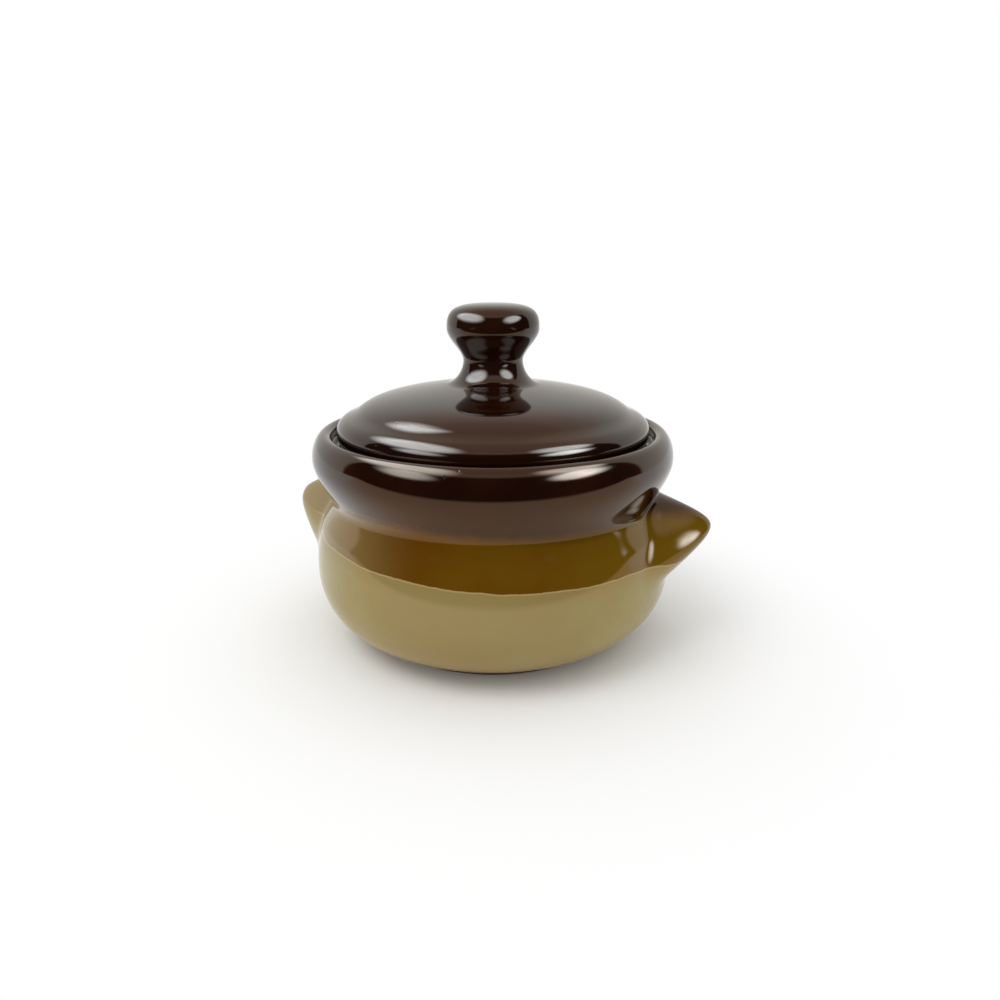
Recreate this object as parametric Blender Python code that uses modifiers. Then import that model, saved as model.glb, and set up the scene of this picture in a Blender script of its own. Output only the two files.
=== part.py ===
"""Lidded stoneware bean pot.

A turned bowl with a rolled collar, two pinched lug handles luted to its shoulder, and a
domed lid with a mushroom knob that drops onto a ledge inside the rim.

Units are metres and +Z is up. The origin is the centre of the foot, on the table, and the
handles point along X.
"""

import bmesh
import bpy
from mathutils import Vector
from mathutils.geometry import interpolate_bezier

# Bowl
POT_HEIGHT = 0.0750        # table to the top of the rim
COLLAR_RADIUS = 0.0635     # widest point of the rolled collar
COLLAR_DROP = 0.0085       # rim top down to that widest point
NECK_DEPTH = 0.0060        # how far the neck is drawn in from the collar
NECK_DROP = 0.0240         # rim top down to the narrowest point of the neck
BELLY_RADIUS = 0.0640      # widest point of the belly
BELLY_HEIGHT = 0.0272      # table up to that widest point
WALL = 0.0050              # thickness of the thrown wall
FLOOR = 0.0062             # thickness of the floor
FOOT_RADIUS = 0.0440       # outside of the turned foot ring
FOOT_HEIGHT = 0.0040       # table up to the heel
FOOT_WIDTH = 0.0050        # breadth of the foot ring
FOOT_RECESS = 0.0026       # depth of the hollow inside the foot ring
FOOT_EDGE = 0.0006         # softening of the foot's two edges

# Ledge inside the rim
SEAT_WIDTH = 0.0042        # breadth of the ledge the lid rests on
SEAT_DEPTH = 0.0042        # rim top down to the ledge
SEAT_EDGE = 0.0008         # softening of the ledge's corners
RIM_ROUND = 0.0023         # inner edge of the rim

# Lid
LID_CLEARANCE = 0.0018     # play between the lid's edge and the rim
LID_EDGE = 0.0039          # underside up to the lid's widest point
LID_ROLL = 0.0050          # widest point up to the top of the rolled edge
LID_ROLL_WIDTH = 0.0034    # breadth of the rolled edge
LID_COVE_WIDTH = 0.0048    # breadth of the shallow cove inside the rolled edge
LID_COVE_RISE = 0.0027     # rise across that cove
LID_RISE = 0.0192          # underside up to the crown
LID_WALL = 0.0056          # thickness of the dome
LID_FOOT = 0.0052          # breadth of the flat ring the lid rests on

# Knob
KNOB_HEIGHT = 0.0275       # crown of the lid to the top of the knob
KNOB_RADIUS = 0.0160       # widest point of the head
KNOB_HEAD = 0.0085         # top of the knob down to that widest point
KNOB_NECK_RADIUS = 0.0104  # waist of the knob
KNOB_NECK_HEIGHT = 0.0079  # foot of the knob up to its waist
KNOB_FOOT_RADIUS = 0.0162  # spread of the knob's foot on the crown
KNOB_FOOT_EDGE = 0.0007    # thickness of the foot at its rim

# Handles
HANDLE_REACH = 0.0136      # tip of the handle beyond the belly
HANDLE_DROP = 0.0132       # neck down to the middle of the root
HANDLE_LIFT = 0.0066       # middle of the root up to the tip
HANDLE_TALL = 0.0176       # half the height of the root
HANDLE_BROAD = 0.0235      # half the breadth of the root
HANDLE_EGG = 0.42          # how much fuller the root is low down
HANDLE_ROUND = 0.22        # roundness of the tip: 0 is a cone's point, 0.5 a bullet's nose

# Joints between the pieces
SLIP = 0.0003              # layer of slip between two luted pieces
REST_GAP = 0.0003          # unevenness between the lid and its ledge

# Glaze
AMBER_LINE = 0.0386        # top of the bare beige glaze
BROWN_LINE = 0.0514        # top of the amber glaze

# Fineness
TURNS = 56                 # facets round the bowl and the lid
KNOB_TURNS = 40            # facets round the knob

BEIGE = (0.29, 0.22, 0.10)
AMBER = (0.115, 0.046, 0.001)
BROWN = (0.013, 0.003, 0.001)

neck_radius = COLLAR_RADIUS - NECK_DEPTH
throat_radius = neck_radius - WALL
mouth_radius = throat_radius + SEAT_WIDTH
lid_radius = mouth_radius - LID_CLEARANCE
collar_height = POT_HEIGHT - COLLAR_DROP
neck_height = POT_HEIGHT - NECK_DROP
seat_height = POT_HEIGHT - SEAT_DEPTH
lid_base = seat_height + REST_GAP
crown_height = lid_base + LID_RISE
knob_base = crown_height + SLIP
knob_top = crown_height + KNOB_HEIGHT


def curve(start, leave, arrive, end, count):
    """Points along one Bezier stretch of an outline, without its last point."""
    points = interpolate_bezier(
        Vector((start[0], 0, start[1])),
        Vector((leave[0], 0, leave[1])),
        Vector((arrive[0], 0, arrive[1])),
        Vector((end[0], 0, end[1])),
        count + 1,
    )
    return [(p.x, p.z) for p in points[:-1]]


def corner(start, apex, end, count=2):
    """A rounded corner from start to end, without its last point."""
    leave = [s + 0.55 * (a - s) for s, a in zip(start, apex)]
    arrive = [e + 0.55 * (a - e) for e, a in zip(end, apex)]
    return curve(start, leave, arrive, end, count)


def bowl_outside():
    """The bowl's outline from the crest of the rim down to the top of the foot."""
    crest = (mouth_radius + RIM_ROUND, POT_HEIGHT)
    collar = (COLLAR_RADIUS, collar_height)
    neck = (neck_radius, neck_height)
    belly = (BELLY_RADIUS, BELLY_HEIGHT)
    heel = (FOOT_RADIUS + 0.0015, FOOT_HEIGHT)
    roll = COLLAR_RADIUS - crest[0]
    hang = collar_height - neck_height
    shoulder = neck_height - BELLY_HEIGHT
    flare = BELLY_RADIUS - neck_radius
    turn = (neck_radius + 0.615 * flare, neck_height - 0.336 * shoulder)
    bowl = BELLY_HEIGHT - FOOT_HEIGHT
    points = curve(
        crest,
        (crest[0] + 0.49 * roll, POT_HEIGHT),
        (COLLAR_RADIUS, collar_height + 0.54 * COLLAR_DROP),
        collar,
        5,
    )
    points += curve(
        collar,
        (COLLAR_RADIUS, collar_height - 0.36 * hang),
        (neck_radius, neck_height + 0.20 * hang),
        neck,
        5,
    )
    points += curve(
        neck,
        (neck_radius, neck_height - 0.07 * shoulder),
        (turn[0] - 0.086 * flare, turn[1] + 0.077 * shoulder),
        turn,
        4,
    )
    points += curve(
        turn,
        (turn[0] + 0.234 * flare, turn[1] - 0.210 * shoulder),
        (BELLY_RADIUS, BELLY_HEIGHT + 0.266 * shoulder),
        belly,
        5,
    )
    points += curve(
        belly,
        (BELLY_RADIUS, BELLY_HEIGHT - 0.65 * bowl),
        (heel[0] + 0.43 * (BELLY_RADIUS - heel[0]), FOOT_HEIGHT),
        heel,
        9,
    )
    return points + [heel]


def bowl_profile():
    """The whole bowl in section: inside, rim, outside, foot and the hollow under it."""
    floor_top = FOOT_RECESS + FLOOR
    inside = BELLY_RADIUS - WALL
    floor_edge = (FOOT_RADIUS - FOOT_WIDTH, floor_top)
    throat_foot = (throat_radius, neck_height)
    points = [(0, floor_top)]
    points += curve(
        floor_edge,
        (floor_edge[0] + 0.55 * (inside - floor_edge[0]), floor_top),
        (inside, floor_top + 0.35 * (BELLY_HEIGHT - floor_top)),
        (inside, BELLY_HEIGHT),
        6,
    )
    points += curve(
        (inside, BELLY_HEIGHT),
        (inside, BELLY_HEIGHT + 0.60 * (neck_height - BELLY_HEIGHT)),
        (throat_radius, neck_height - 0.20 * (neck_height - BELLY_HEIGHT)),
        throat_foot,
        5,
    )
    points.append(throat_foot)
    points += corner(
        (throat_radius, seat_height - SEAT_EDGE),
        (throat_radius, seat_height),
        (throat_radius + SEAT_EDGE, seat_height),
    )
    points.append((throat_radius + SEAT_EDGE, seat_height))
    points += corner(
        (mouth_radius - SEAT_EDGE, seat_height),
        (mouth_radius, seat_height),
        (mouth_radius, seat_height + SEAT_EDGE),
    )
    points.append((mouth_radius, seat_height + SEAT_EDGE))
    points += corner(
        (mouth_radius, POT_HEIGHT - 0.75 * RIM_ROUND),
        (mouth_radius, POT_HEIGHT),
        (mouth_radius + RIM_ROUND, POT_HEIGHT),
        4,
    )
    points += bowl_outside()
    points += corner(
        (FOOT_RADIUS, FOOT_HEIGHT - 0.0014),
        (FOOT_RADIUS, FOOT_HEIGHT - 0.0014),
        (FOOT_RADIUS, FOOT_EDGE),
        1,
    )
    points += corner((FOOT_RADIUS, FOOT_EDGE), (FOOT_RADIUS, 0), (FOOT_RADIUS - FOOT_EDGE, 0))
    points.append((FOOT_RADIUS - FOOT_EDGE, 0))
    hollow = FOOT_RADIUS - FOOT_WIDTH
    points += corner((hollow + FOOT_EDGE, 0), (hollow, 0), (hollow, FOOT_EDGE))
    points += [(hollow, FOOT_EDGE), (hollow - 0.5 * FOOT_RECESS, FOOT_RECESS), (0, FOOT_RECESS)]
    return points


def envelope_profile():
    """The bowl's outside as a solid, one layer of slip proud of the clay."""
    outside = bowl_outside()
    grown = []
    for i, (r, z) in enumerate(outside):
        before = outside[max(i - 1, 0)]
        after = outside[min(i + 1, len(outside) - 1)]
        along = Vector((after[0] - before[0], after[1] - before[1])).normalized()
        grown.append((r - along.y * SLIP, z + along.x * SLIP))
    return [(0, grown[0][1])] + grown + [(0, grown[-1][1])]


def lid_profile():
    """The lid in section: crown, dome, cove, rolled edge, resting ring and hollow."""
    roll_top = (lid_radius - LID_ROLL_WIDTH, lid_base + LID_EDGE + LID_ROLL)
    cove_top = (roll_top[0] - LID_COVE_WIDTH, roll_top[1] + LID_COVE_RISE)
    widest = (lid_radius, lid_base + LID_EDGE)
    crown = (KNOB_FOOT_RADIUS, crown_height)
    span = cove_top[0] - crown[0]
    drop = crown_height - cove_top[1]
    points = [(0, crown_height)]
    points += curve(
        crown,
        (crown[0] + 0.72 * span, crown_height - 0.34 * drop),
        (cove_top[0] - 0.12 * span, cove_top[1] + 0.33 * drop),
        cove_top,
        6,
    )
    points += curve(
        cove_top,
        (cove_top[0] + 0.26 * LID_COVE_WIDTH, cove_top[1] - 0.40 * LID_COVE_RISE),
        (roll_top[0] - 0.45 * LID_COVE_WIDTH, roll_top[1] + 0.36 * LID_COVE_RISE),
        roll_top,
        3,
    )
    points += curve(
        roll_top,
        (roll_top[0] + 0.60 * LID_ROLL_WIDTH, roll_top[1] - 0.22 * LID_ROLL),
        (lid_radius, widest[1] + 0.50 * LID_ROLL),
        widest,
        5,
    )
    ring_out = (lid_radius - 0.40 * LID_EDGE, lid_base)
    ring_in = (ring_out[0] - LID_FOOT, lid_base)
    points += corner(widest, (lid_radius, lid_base), ring_out, 4)
    points += [ring_out, ring_in]
    under = crown_height - LID_WALL
    points += curve(
        (ring_in[0] - 0.0012, lid_base + 0.0012),
        (ring_in[0] - 0.25 * ring_in[0], lid_base + 0.62 * (under - lid_base)),
        (0.45 * ring_in[0], under),
        (0.18 * ring_in[0], under),
        6,
    )
    return points + [(0, under)]


def knob_profile():
    """The knob in section: domed head, taper, waist and spreading foot."""
    widest = (KNOB_RADIUS, knob_top - KNOB_HEAD)
    waist = (KNOB_NECK_RADIUS, knob_base + KNOB_NECK_HEIGHT)
    foot = (KNOB_FOOT_RADIUS, knob_base + KNOB_FOOT_EDGE)
    taper = widest[1] - waist[1]
    points = curve(
        (0, knob_top),
        (0.87 * KNOB_RADIUS, knob_top),
        (KNOB_RADIUS, knob_top - 0.28 * KNOB_HEAD),
        widest,
        7,
    )
    points += curve(
        widest,
        (KNOB_RADIUS, widest[1] - 0.34 * taper),
        (KNOB_NECK_RADIUS, waist[1] + 0.30 * taper),
        waist,
        5,
    )
    points += curve(
        waist,
        (KNOB_NECK_RADIUS, waist[1] - 0.42 * KNOB_NECK_HEIGHT),
        (KNOB_NECK_RADIUS + 0.30 * (foot[0] - waist[0]), foot[1] + 0.07 * KNOB_NECK_HEIGHT),
        foot,
        5,
    )
    return points + [foot, (KNOB_FOOT_RADIUS - 0.0003, knob_base), (0, knob_base)]


def turned(name, profile, steps, material, collection):
    """A piece of revolution: its section spun about Z with a Screw modifier."""
    mesh = bpy.data.meshes.new(name)
    edges = [(i, i + 1) for i in range(len(profile) - 1)]
    mesh.from_pydata([(r, 0, z) for r, z in profile], edges, [])
    mesh.materials.append(material)
    piece = bpy.data.objects.new(name, mesh)
    collection.objects.link(piece)
    spin = piece.modifiers.new("spin", 'SCREW')
    spin.axis = 'Z'
    spin.steps = steps
    spin.render_steps = steps
    spin.use_merge_vertices = True
    spin.merge_threshold = 0.00001
    spin.use_smooth_shade = True
    return piece


def pinch(unit):
    """Where a point of a ball of radius one goes when the ball is pinched into a lug."""
    ring = max(1e-9, (unit.x ** 2 + unit.y ** 2) ** 0.5)
    side = unit.x / ring
    up = unit.y / ring
    root = neck_radius
    length = BELLY_RADIUS + HANDLE_REACH - root
    middle = neck_height - HANDLE_DROP
    if unit.z > 0:
        straight = 1 - 2 * HANDLE_ROUND
        short = ((HANDLE_ROUND ** 2 + straight * ring ** 2) ** 0.5 - HANDLE_ROUND) / straight
        reach = length * (1 - short)
        lift = HANDLE_LIFT * (1 - short)
    else:
        reach = WALL * unit.z
        lift = 0
    breadth = HANDLE_BROAD * (1 - HANDLE_EGG * up) * ring
    return Vector((root + reach, side * breadth, middle + lift + up * HANDLE_TALL * ring))


def lug_handle(name, facing, material, collection, envelope):
    """A lug pinched from a ball of clay, cut to the curve of the bowl."""
    mesh = bpy.data.meshes.new(name)
    lump = bmesh.new()
    bmesh.ops.create_uvsphere(lump, u_segments=28, v_segments=22, radius=1)
    for vertex in lump.verts:
        place = pinch(vertex.co)
        vertex.co = Vector((facing * place.x, facing * place.y, place.z))
    bmesh.ops.recalc_face_normals(lump, faces=lump.faces)
    for face in lump.faces:
        face.smooth = True
    lump.to_mesh(mesh)
    lump.free()
    mesh.materials.append(material)
    piece = bpy.data.objects.new(name, mesh)
    collection.objects.link(piece)
    cut = piece.modifiers.new("fit_to_bowl", 'BOOLEAN')
    cut.operation = 'DIFFERENCE'
    cut.solver = 'EXACT'
    cut.object = envelope
    return piece


def glaze(name, colour, roughness):
    """One plain glaze."""
    material = bpy.data.materials.new(name)
    material.use_nodes = True
    shader = material.node_tree.nodes["Principled BSDF"]
    shader.inputs["Base Color"].default_value = (*colour, 1)
    shader.inputs["Roughness"].default_value = roughness
    shader.inputs["Metallic"].default_value = 0
    material.diffuse_color = (*colour, 1)
    return material


def dipped_glaze(name, roughness):
    """Beige, amber and brown glaze in level bands, as two dips leave them."""
    material = glaze(name, AMBER, roughness)
    nodes = material.node_tree.nodes
    links = material.node_tree.links
    place = nodes.new("ShaderNodeTexCoord")
    split = nodes.new("ShaderNodeSeparateXYZ")
    scale = nodes.new("ShaderNodeMath")
    bands = nodes.new("ShaderNodeValToRGB")
    scale.operation = 'DIVIDE'
    scale.inputs[1].default_value = POT_HEIGHT
    bands.color_ramp.interpolation = 'CONSTANT'
    bands.color_ramp.elements[0].color = (*BEIGE, 1)
    bands.color_ramp.elements[1].position = AMBER_LINE / POT_HEIGHT
    bands.color_ramp.elements[1].color = (*AMBER, 1)
    top = bands.color_ramp.elements.new(BROWN_LINE / POT_HEIGHT)
    top.color = (*BROWN, 1)
    links.new(place.outputs["Object"], split.inputs[0])
    links.new(split.outputs["Z"], scale.inputs[0])
    links.new(scale.outputs[0], bands.inputs[0])
    links.new(bands.outputs[0], nodes["Principled BSDF"].inputs["Base Color"])
    return material


def new_collection(name):
    collection = bpy.data.collections.new(name)
    bpy.context.scene.collection.children.link(collection)
    return collection


def build():
    for old in list(bpy.data.objects):
        bpy.data.objects.remove(old)
    pot = new_collection("bean_pot")
    tools = new_collection("cutters")
    bowl_glaze = dipped_glaze("bowl_glaze", 0.08)
    handle_glaze = dipped_glaze("handle_glaze", 0.08)
    lid_glaze = glaze("lid_glaze", BROWN, 0.07)
    knob_glaze = glaze("knob_glaze", BROWN, 0.07)

    envelope = turned("bowl_envelope", envelope_profile(), TURNS, bowl_glaze, tools)
    envelope.hide_render = True
    envelope.display_type = 'WIRE'

    turned("pot_bowl", bowl_profile(), TURNS, bowl_glaze, pot)
    lug_handle("right_handle", 1, handle_glaze, pot, envelope)
    lug_handle("left_handle", -1, handle_glaze, pot, envelope)
    turned("lid", lid_profile(), TURNS, lid_glaze, pot)
    turned("lid_knob", knob_profile(), KNOB_TURNS, knob_glaze, pot)


build()
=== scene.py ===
# %% [markdown]
# # A covered bean pot, dressed in its glaze
# On the table this pot is two loose things: a thrown stoneware bowl with two pinched lugs, and a
# lid that drops onto a ledge inside the rim. Its solids come ready packed, with their size, their
# mass and the one motion that they have. This lesson gives them the look of the fired pot: one
# unbroken skin of glaze over each loose thing, a plain table, and quiet light.

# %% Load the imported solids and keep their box
import math

import bpy
import numpy as np
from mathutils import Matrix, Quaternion, Vector


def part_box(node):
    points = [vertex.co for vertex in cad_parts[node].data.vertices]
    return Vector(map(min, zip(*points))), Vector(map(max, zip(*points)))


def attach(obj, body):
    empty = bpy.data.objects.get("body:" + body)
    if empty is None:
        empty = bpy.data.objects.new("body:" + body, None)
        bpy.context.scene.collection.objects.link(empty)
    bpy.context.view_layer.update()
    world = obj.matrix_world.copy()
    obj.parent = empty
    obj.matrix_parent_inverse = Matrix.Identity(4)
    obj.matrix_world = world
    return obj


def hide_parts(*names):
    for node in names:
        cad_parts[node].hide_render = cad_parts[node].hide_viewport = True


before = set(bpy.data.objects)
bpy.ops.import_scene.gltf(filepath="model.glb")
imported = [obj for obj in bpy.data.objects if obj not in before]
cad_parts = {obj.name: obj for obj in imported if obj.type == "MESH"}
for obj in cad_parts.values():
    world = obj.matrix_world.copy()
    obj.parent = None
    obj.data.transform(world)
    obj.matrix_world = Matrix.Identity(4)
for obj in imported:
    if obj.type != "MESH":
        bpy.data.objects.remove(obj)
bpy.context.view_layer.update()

# %% [markdown]
# ## Where the camera stands
# A product picture is taken from a little above and a little to one side. A camera can be dragged
# into place in the viewport, or its place can be worked out, which is how the numbers below were found.
# The ellipse of the rim gives the height above level, the two handles give the turn round the pot, and
# the way the near side looks larger gives the distance and with it the lens.

# %% Set up the camera
CAMERA_TURN = math.radians(15.5)
CAMERA_RISE = math.radians(17.1)
CAMERA_DISTANCE = 0.277
CAMERA_LENS = 27.04
SENSOR_WIDTH = 36
AIM_HEIGHT = 0.0473
AIM_ASIDE = 0.0024

camera_right = Vector((math.cos(CAMERA_TURN), math.sin(CAMERA_TURN), 0))
camera_front = Vector((math.sin(CAMERA_TURN), -math.cos(CAMERA_TURN), 0))
camera_back = camera_front * math.cos(CAMERA_RISE) + Vector((0, 0, math.sin(CAMERA_RISE)))
aim = Vector((0, 0, AIM_HEIGHT)) + camera_right * AIM_ASIDE

camera = bpy.data.objects.new("camera", bpy.data.cameras.new("camera"))
camera.data.sensor_width = SENSOR_WIDTH
camera.data.lens = CAMERA_LENS
camera.location = aim + camera_back * CAMERA_DISTANCE
camera.rotation_euler = camera_back.to_track_quat('Z', 'Y').to_euler()
bpy.context.scene.collection.objects.link(camera)
bpy.context.scene.camera = camera
print("camera at", [round(v, 4) for v in camera.location], "lens", CAMERA_LENS)

# %% [markdown]
# ## An outline, as a potter's rib cuts it
# A thrown pot is one outline carried round an axis. In Blender the quick way is a Screw modifier on
# a line of vertices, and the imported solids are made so. We want handles that grow out of the wall
# with no seam, so here the outline is worked out as numbers first. Each stretch is a Bezier curve:
# two ends and two handles, the same thing that the curve editor shows. Points are laid along it at
# an even step, closer together where the form turns quickly.

# %% Helpers for one stretch of an outline
SKIN_STEP = 0.0008
ROUND_HANDLE = 0.55


def stretch(start, leave, arrive, end, step=SKIN_STEP):
    """Points along one Bezier stretch of an outline, without its last point."""
    start, leave, arrive, end = (np.array(p, dtype=float) for p in (start, leave, arrive, end))
    legs = (leave - start, arrive - leave, end - arrive)
    count = max(2, round(sum(np.linalg.norm(leg) for leg in legs) / step))
    t = np.linspace(0, 1, count, endpoint=False)[:, None]
    s = 1 - t
    return s**3 * start + 3 * s**2 * t * leave + 3 * s * t**2 * arrive + t**3 * end


def line(start, end, step=SKIN_STEP):
    """A straight stretch, without its last point."""
    start, end = np.array(start, dtype=float), np.array(end, dtype=float)
    return stretch(start, start + (end - start) / 3, end - (end - start) / 3, end, step)


def bend(start, apex, end, step=SKIN_STEP):
    """A rounded corner under an apex, without its last point."""
    start, apex, end = (np.array(p, dtype=float) for p in (start, apex, end))
    leave = start + ROUND_HANDLE * (apex - start)
    arrive = end + ROUND_HANDLE * (apex - end)
    return stretch(start, leave, arrive, end, step)


print("a stretch 20 mm long has", len(line((0, 0), (0.020, 0))), "points")

# %% [markdown]
# ## The outside of the bowl
# From the rim down: a fat rolled collar, a drawn-in neck, a sloping shoulder, a round belly that is
# widest low down, and a heel that turns in sharply to a small foot ring. We could trace such a line
# by eye, but five stretches that share their tangents give the same smooth run, and each can be
# changed by itself. The values are real sizes in metres. The plain shares, such as 0.49, say how
# long a curve's handle is beside the stretch that it belongs to.

# %% The places that the outside runs through
POT_HEIGHT = 0.0750
COLLAR_RADIUS = 0.0635
COLLAR_DROP = 0.0085
NECK_RADIUS = 0.0575
NECK_HEIGHT = 0.0510
SHOULDER_RADIUS = 0.0615
SHOULDER_HEIGHT = 0.0430
SHOULDER_SLOPE = math.radians(17)
BELLY_RADIUS = 0.0640
BELLY_HEIGHT = 0.0272
FOOT_RADIUS = 0.0440
FOOT_HEIGHT = 0.0040
HEEL_ROUND = 0.0015
MOUTH_RADIUS = 0.0567
RIM_ROUND = 0.0023

crest = (MOUTH_RADIUS + RIM_ROUND, POT_HEIGHT)
collar = (COLLAR_RADIUS, POT_HEIGHT - COLLAR_DROP)
neck = (NECK_RADIUS, NECK_HEIGHT)
shoulder = np.array((SHOULDER_RADIUS, SHOULDER_HEIGHT))
belly = (BELLY_RADIUS, BELLY_HEIGHT)
heel = (FOOT_RADIUS + HEEL_ROUND, FOOT_HEIGHT)
print("from the crest at", crest, "to the heel at", heel)

# %% The outside outline
roll = collar[0] - crest[0]
hang = collar[1] - neck[1]
fall = np.array((math.sin(SHOULDER_SLOPE), -math.cos(SHOULDER_SLOPE)))
upper = np.linalg.norm(shoulder - neck)
lower = np.linalg.norm(shoulder - belly)
below = belly[1] - heel[1]

outside = np.concatenate([
    stretch(crest, (crest[0] + 0.49 * roll, crest[1]),
            (collar[0], collar[1] + 0.54 * COLLAR_DROP), collar),
    stretch(collar, (collar[0], collar[1] - 0.36 * hang),
            (neck[0], neck[1] + 0.20 * hang), neck),
    stretch(neck, (neck[0], neck[1] - 0.21 * upper),
            shoulder - 0.24 * upper * fall, shoulder),
    stretch(shoulder, shoulder + 0.33 * lower * fall,
            (belly[0], belly[1] + 0.40 * lower), belly),
    stretch(belly, (belly[0], belly[1] - 0.65 * below),
            (heel[0] + 0.43 * (belly[0] - heel[0]), heel[1]), heel),
])
print("outside:", len(outside), "points, widest at", round(1000 * outside[:, 0].max(), 2), "mm")

# %% [markdown]
# ## The foot and the hollow under it
# The foot ring is the one place where a pot touches the kiln shelf, so it is wiped clean of glaze
# and its edges are softened with a sponge. A lathe outline can end in a plain disc, but the ring and
# the shallow hollow inside it are what a hand feels when the pot is turned over, so they are in the
# line. It stops just short of the axis, where a small fan of triangles will shut the skin.

# %% The foot outline
FOOT_WIDTH = 0.0050
FOOT_RECESS = 0.0026
FOOT_EDGE = 0.0006
HEEL_DROP = 0.0014
FAN_RADIUS = 0.002

ring_inner = FOOT_RADIUS - FOOT_WIDTH
ring_top = FOOT_HEIGHT - HEEL_DROP
foot = np.concatenate([
    bend(heel, (FOOT_RADIUS, FOOT_HEIGHT), (FOOT_RADIUS, ring_top), step=0.0004),
    line((FOOT_RADIUS, ring_top), (FOOT_RADIUS, FOOT_EDGE)),
    bend((FOOT_RADIUS, FOOT_EDGE), (FOOT_RADIUS, 0), (FOOT_RADIUS - FOOT_EDGE, 0), step=0.0003),
    line((FOOT_RADIUS - FOOT_EDGE, 0), (ring_inner + FOOT_EDGE, 0), step=0.0012),
    bend((ring_inner + FOOT_EDGE, 0), (ring_inner, 0), (ring_inner, FOOT_EDGE), step=0.0003),
    bend((ring_inner, FOOT_EDGE), (ring_inner, FOOT_RECESS),
         (ring_inner - FOOT_RECESS, FOOT_RECESS), step=0.0006),
    line((ring_inner - FOOT_RECESS, FOOT_RECESS), (FAN_RADIUS, FOOT_RECESS), step=0.0030),
])
print("foot:", len(foot), "points, ring", 2000 * ring_inner, "to", 2000 * FOOT_RADIUS, "mm across")

# %% [markdown]
# ## The inside and the ledge
# Lift the lid and there is a smooth bowl, a throat, and a ledge cut into the rim that carries the
# lid. Nothing inside shows in the picture, so its wall simply runs parallel to the outside at the
# thickness that stoneware of this size has. The fingers leave faint rings inside a thrown pot. They
# could be a bump in the material, but a slow wave in the outline costs nothing and is real form.

# %% The inside outline
WALL = 0.0050
FLOOR_TOP = 0.0088
SEAT_HEIGHT = 0.0708
SEAT_EDGE = 0.0008
FINGER_PITCH = 0.0065
FINGER_DEPTH = 0.00012

throat = NECK_RADIUS - WALL
hollow = BELLY_RADIUS - WALL
turn_up = hollow - ring_inner
above = NECK_HEIGHT - BELLY_HEIGHT
inside = np.concatenate([
    line((FAN_RADIUS, FLOOR_TOP), (ring_inner, FLOOR_TOP), step=0.0026),
    stretch((ring_inner, FLOOR_TOP), (ring_inner + 0.55 * turn_up, FLOOR_TOP),
            (hollow, FLOOR_TOP + 0.35 * (BELLY_HEIGHT - FLOOR_TOP)), (hollow, BELLY_HEIGHT), step=0.0015),
    stretch((hollow, BELLY_HEIGHT), (hollow, BELLY_HEIGHT + 0.60 * above),
            (throat, NECK_HEIGHT - 0.20 * above), (throat, NECK_HEIGHT), step=0.0015),
    line((throat, NECK_HEIGHT), (throat, SEAT_HEIGHT - SEAT_EDGE), step=0.0015),
])
ripple = np.sin(2 * math.pi * inside[:, 1] / FINGER_PITCH)
near_wall = np.clip(inside[:, 0] / hollow, 0, 1) ** 6
inside[:, 0] += FINGER_DEPTH * ripple * near_wall
print("inside:", len(inside), "points, throat", 2000 * throat, "mm across")

# %% The ledge and the rim
lip_height = POT_HEIGHT - 0.75 * RIM_ROUND
ledge = np.concatenate([
    bend((throat, SEAT_HEIGHT - SEAT_EDGE), (throat, SEAT_HEIGHT),
         (throat + SEAT_EDGE, SEAT_HEIGHT), step=0.0003),
    line((throat + SEAT_EDGE, SEAT_HEIGHT), (MOUTH_RADIUS - SEAT_EDGE, SEAT_HEIGHT), step=0.0009),
    bend((MOUTH_RADIUS - SEAT_EDGE, SEAT_HEIGHT), (MOUTH_RADIUS, SEAT_HEIGHT),
         (MOUTH_RADIUS, SEAT_HEIGHT + SEAT_EDGE), step=0.0003),
    line((MOUTH_RADIUS, SEAT_HEIGHT + SEAT_EDGE), (MOUTH_RADIUS, lip_height), step=0.0006),
    bend((MOUTH_RADIUS, lip_height), (MOUTH_RADIUS, POT_HEIGHT), crest, step=0.0004),
])
print("ledge and rim:", len(ledge), "points, mouth", 2000 * MOUTH_RADIUS, "mm across")

# %% [markdown]
# ## Lugs that grow out of the wall
# Each handle is a ball of clay pinched to a blunt point and pressed onto the shoulder. The potter
# smooths the join with a wet finger and the glaze then fills it, so no seam is left, only a soft
# hollow all round. Two meshes with a Boolean union would leave a crease, and a bevel on that crease
# is fragile. Instead we ask, for each height and each direction round the pot, how far out the lug
# reaches, and blend that with the bowl's own radius by a smooth maximum. The reach is found by
# halving: a point half way is tried, and each answer says which half to keep.

# %% How far a lug reaches
LUG_TIP = 0.0776
LUG_MIDDLE = 0.0378
LUG_LIFT = 0.0066
LUG_TALL = 0.0176
LUG_BROAD = 0.0235
LUG_EGG = 0.42
LUG_ROUND = 0.22
LUG_SPREAD = 0.6
LUG_ROOT = 0.6
BEYOND_LUG = 0.085
HALVINGS = 40
EGG_ROUNDS = 5


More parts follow.
